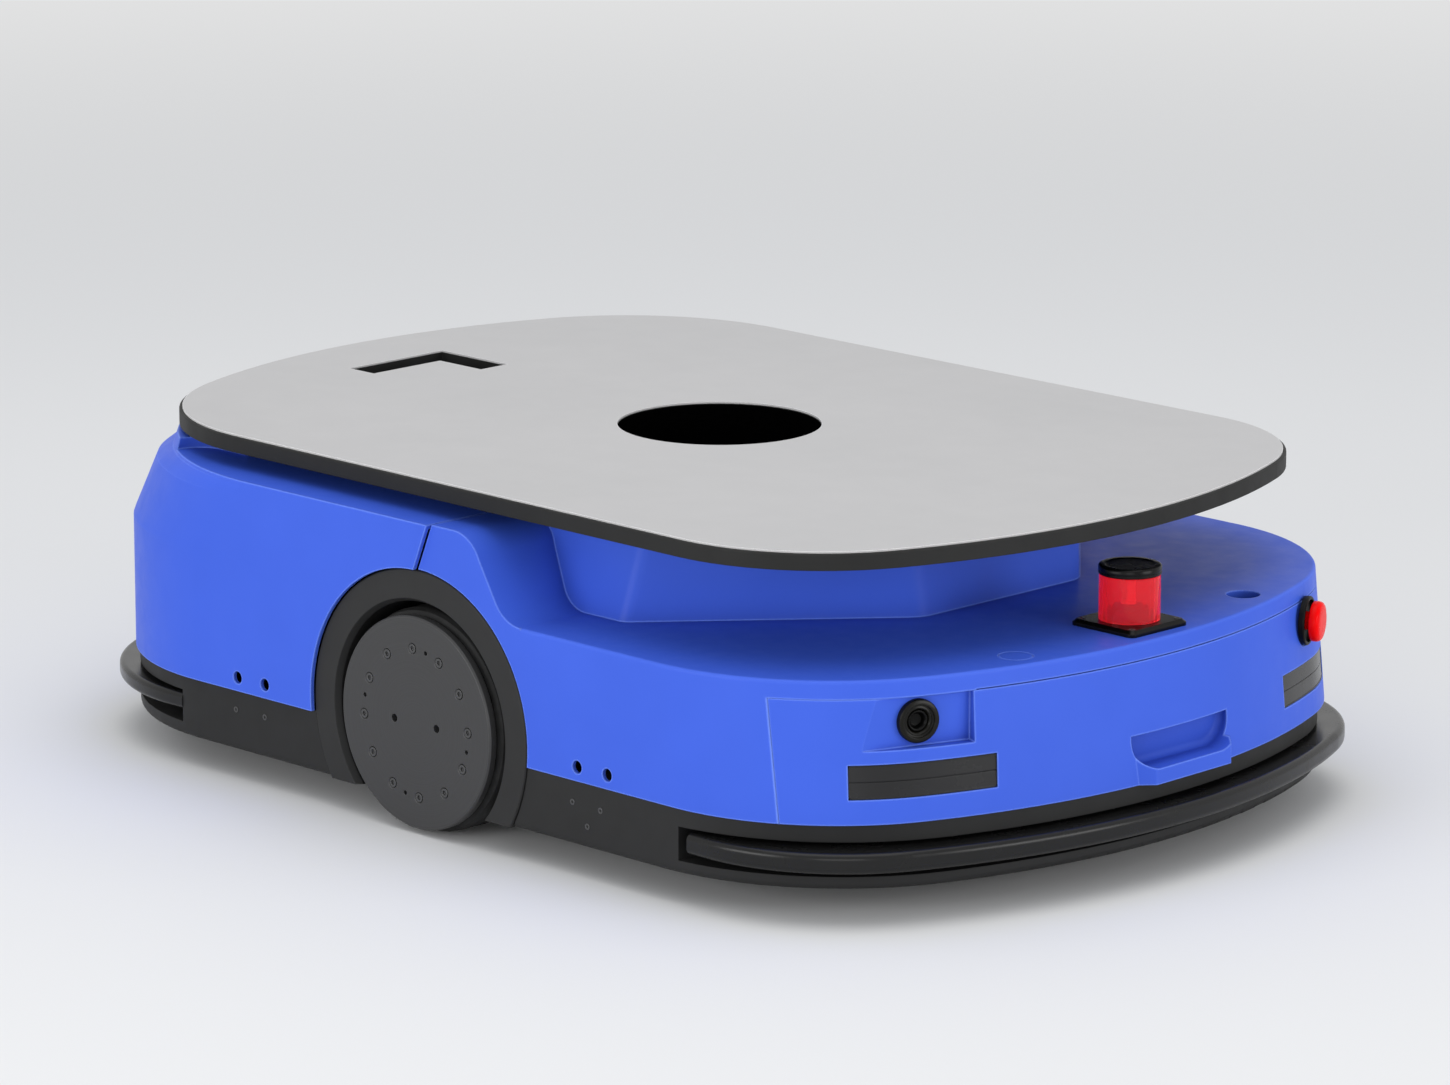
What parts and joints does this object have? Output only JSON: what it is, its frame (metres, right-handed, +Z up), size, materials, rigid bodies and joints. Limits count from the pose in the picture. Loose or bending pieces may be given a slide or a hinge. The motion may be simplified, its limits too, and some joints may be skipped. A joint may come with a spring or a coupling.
{
  "type": "autonomous mobile robot",
  "caption": "Low mobile robot with two drive wheels, casters and a flat lifting deck over a blue body, sprung nose bumper and beacon.",
  "frame": {"origin": "on the floor, under the drive axle's middle, which is the centre of the outline", "axes": "+X forward to the nose with the beacon, +Y to the robot's left, +Z up"},
  "size_m": [0.9819, 0.65, 0.27],
  "materials": {
    "cover_blue": "semi-gloss blue powder coat",
    "skirt_dark": "fine-grained dark grey moulding",
    "arch_dark": "satin dark grey moulding",
    "bumper_dark": "satin dark grey strip",
    "pan_steel": "black coated sheet",
    "window_dark": "dark infrared-clear window",
    "button_ring": "dark anodised ring",
    "button_dark": "dark push button",
    "stop_collar": "black collar",
    "stop_red": "red mushroom head",
    "beacon_black": "black moulding",
    "beacon_red": "translucent red lens",
    "battery_case": "dark box",
    "controller_case": "finned case",
    "reader_case": "dark anodised case",
    "motor_alloy": "cast alloy gear motor",
    "hub_iron": "turned alloy hub",
    "drive_tyre": "moulded polyurethane tread",
    "disc_dark": "satin dark anodised disc",
    "screw_dark": "blackened screws",
    "fork_steel": "zinc-plated fork",
    "caster_rubber": "dark tread",
    "tower_alloy": "milled alloy",
    "jack_steel": "ground steel screw",
    "belt_rubber": "toothed belt",
    "lift_motor_dark": "dark motor case",
    "pulley_alloy": "turned pulley",
    "deck_black": "black anodised plate",
    "deck_alloy": "pale clear-anodised sheet",
    "frame_steel": "black coated frame"
  },
  "bodies": {
    "chassis": {"base_pan": "pan_steel", "skirt_front": "skirt_dark", "skirt_rear": "skirt_dark", "bumper_rear": "bumper_dark", "wheel_arch_left": "arch_dark", "wheel_arch_right": "arch_dark", "rear_cover": "cover_blue", "front_cover": "cover_blue", "front_fascia": "cover_blue", "window_left": "window_dark", "window_right": "window_dark", "port_plug": "cover_blue", "power_bezel": "button_ring", "estop_bezel": "stop_collar", "beacon_base": "beacon_black", "beacon_lens": "beacon_red", "beacon_cap": "beacon_black", "battery": "battery_case", "controller": "controller_case", "code_reader": "reader_case", "drive_motor_left": "motor_alloy", "drive_motor_right": "motor_alloy", "jack_tower_front_left": "tower_alloy", "jack_tower_front_right": "tower_alloy", "jack_tower_rear_left": "tower_alloy", "jack_tower_rear_right": "tower_alloy", "lift_belt_front": "belt_rubber", "lift_belt_rear": "belt_rubber", "lift_motor_front": "lift_motor_dark", "lift_motor_rear": "lift_motor_dark"},
    "wheel_left": {"drive_hub_left": "hub_iron", "tyre_left": "drive_tyre", "wheel_cover_left": "disc_dark", "cover_screws_left": "screw_dark"},
    "wheel_right": {"drive_hub_right": "hub_iron", "tyre_right": "drive_tyre", "wheel_cover_right": "disc_dark", "cover_screws_right": "screw_dark"},
    "fork_front_left": {"caster_fork_front_left": "fork_steel"},
    "roller_front_left": {"caster_wheel_front_left": "caster_rubber"},
    "screw_front_left": {"jack_screw_front_left": "jack_steel"},
    "fork_front_right": {"caster_fork_front_right": "fork_steel"},
    "roller_front_right": {"caster_wheel_front_right": "caster_rubber"},
    "screw_front_right": {"jack_screw_front_right": "jack_steel"},
    "fork_rear_left": {"caster_fork_rear_left": "fork_steel"},
    "roller_rear_left": {"caster_wheel_rear_left": "caster_rubber"},
    "screw_rear_left": {"jack_screw_rear_left": "jack_steel"},
    "fork_rear_right": {"caster_fork_rear_right": "fork_steel"},
    "roller_rear_right": {"caster_wheel_rear_right": "caster_rubber"},
    "screw_rear_right": {"jack_screw_rear_right": "jack_steel"},
    "pulley_front": {"lift_pulley_front": "pulley_alloy"},
    "pulley_rear": {"lift_pulley_rear": "pulley_alloy"},
    "deck": {"deck_plate": "deck_black", "deck_skin": "deck_alloy", "lift_frame": "frame_steel"},
    "bumper": {"bumper_front": "bumper_dark"},
    "stop_head": {"estop_button": "stop_red"},
    "power_cap": {"power_button": "button_dark"}
  },
  "joints": [
    {"name": "drive_left", "type": "hinge", "parent": "chassis", "child": "wheel_left", "pos_m": [0, 0.28, 0.0867], "axis": [0, 1, 0], "continuous": true},
    {"name": "drive_right", "type": "hinge", "parent": "chassis", "child": "wheel_right", "pos_m": [0, -0.28, 0.0867], "axis": [0, 1, 0], "continuous": true},
    {"name": "swivel_front_left", "type": "hinge", "parent": "chassis", "child": "fork_front_left", "pos_m": [0.303, 0.199, 0.1], "axis": [0, 0, 1], "continuous": true},
    {"name": "roll_front_left", "type": "hinge", "parent": "fork_front_left", "child": "roller_front_left", "pos_m": [0.281, 0.199, 0.0375], "axis": [0, 1, 0], "continuous": true},
    {"name": "swivel_front_right", "type": "hinge", "parent": "chassis", "child": "fork_front_right", "pos_m": [0.303, -0.199, 0.1], "axis": [0, 0, 1], "continuous": true},
    {"name": "roll_front_right", "type": "hinge", "parent": "fork_front_right", "child": "roller_front_right", "pos_m": [0.281, -0.199, 0.0375], "axis": [0, 1, 0], "continuous": true},
    {"name": "swivel_rear_left", "type": "hinge", "parent": "chassis", "child": "fork_rear_left", "pos_m": [-0.303, 0.199, 0.1], "axis": [0, 0, 1], "continuous": true},
    {"name": "roll_rear_left", "type": "hinge", "parent": "fork_rear_left", "child": "roller_rear_left", "pos_m": [-0.325, 0.199, 0.0375], "axis": [0, 1, 0], "continuous": true},
    {"name": "swivel_rear_right", "type": "hinge", "parent": "chassis", "child": "fork_rear_right", "pos_m": [-0.303, -0.199, 0.1], "axis": [0, 0, 1], "continuous": true},
    {"name": "roll_rear_right", "type": "hinge", "parent": "fork_rear_right", "child": "roller_rear_right", "pos_m": [-0.325, -0.199, 0.0375], "axis": [0, 1, 0], "continuous": true},
    {"name": "deck_lift", "type": "slide", "parent": "chassis", "child": "deck", "axis": [0, 0, 1], "range_m": [0, 0.06]},
    {"name": "spin_front_left", "type": "hinge", "parent": "chassis", "child": "screw_front_left", "pos_m": [0.17, 0.13, 0.1], "axis": [0, 0, 1], "range_deg": [0, 2170]},
    {"name": "spin_front_right", "type": "hinge", "parent": "chassis", "child": "screw_front_right", "pos_m": [0.17, -0.13, 0.1], "axis": [0, 0, 1], "range_deg": [0, 2170]},
    {"name": "spin_rear_left", "type": "hinge", "parent": "chassis", "child": "screw_rear_left", "pos_m": [-0.17, 0.13, 0.1], "axis": [0, 0, 1], "range_deg": [0, 2170]},
    {"name": "spin_rear_right", "type": "hinge", "parent": "chassis", "child": "screw_rear_right", "pos_m": [-0.17, -0.13, 0.1], "axis": [0, 0, 1], "range_deg": [0, 2170]},
    {"name": "spin_front", "type": "hinge", "parent": "chassis", "child": "pulley_front", "pos_m": [0.225, 0, 0.07], "axis": [0, 0, 1], "range_deg": [0, 2170]},
    {"name": "spin_rear", "type": "hinge", "parent": "chassis", "child": "pulley_rear", "pos_m": [-0.225, 0, 0.07], "axis": [0, 0, 1], "range_deg": [0, 2170]},
    {"name": "bumper_press", "type": "slide", "parent": "chassis", "child": "bumper", "axis": [-1, 0, 0], "range_m": [0, 0.01], "stiffness_N_per_m": 2500, "springref_m": -0.002},
    {"name": "stop_press", "type": "slide", "parent": "chassis", "child": "stop_head", "axis": [-0.8988, -0.4384, 0], "range_m": [0, 0.004], "stiffness_N_per_m": 2500, "springref_m": -0.001},
    {"name": "power_press", "type": "slide", "parent": "chassis", "child": "power_cap", "axis": [-0.9397, 0.342, 0], "range_m": [0, 0.0025], "stiffness_N_per_m": 1500, "springref_m": -0.001}
  ],
  "couplings": [
    {"joint": "spin_front_left", "follows": "deck_lift", "rad_per_m": 628.32},
    {"joint": "spin_front_right", "follows": "deck_lift", "rad_per_m": 628.32},
    {"joint": "spin_rear_left", "follows": "deck_lift", "rad_per_m": 628.32},
    {"joint": "spin_rear_right", "follows": "deck_lift", "rad_per_m": 628.32},
    {"joint": "spin_front", "follows": "deck_lift", "rad_per_m": 628.32},
    {"joint": "spin_rear", "follows": "deck_lift", "rad_per_m": 628.32}
  ]
}
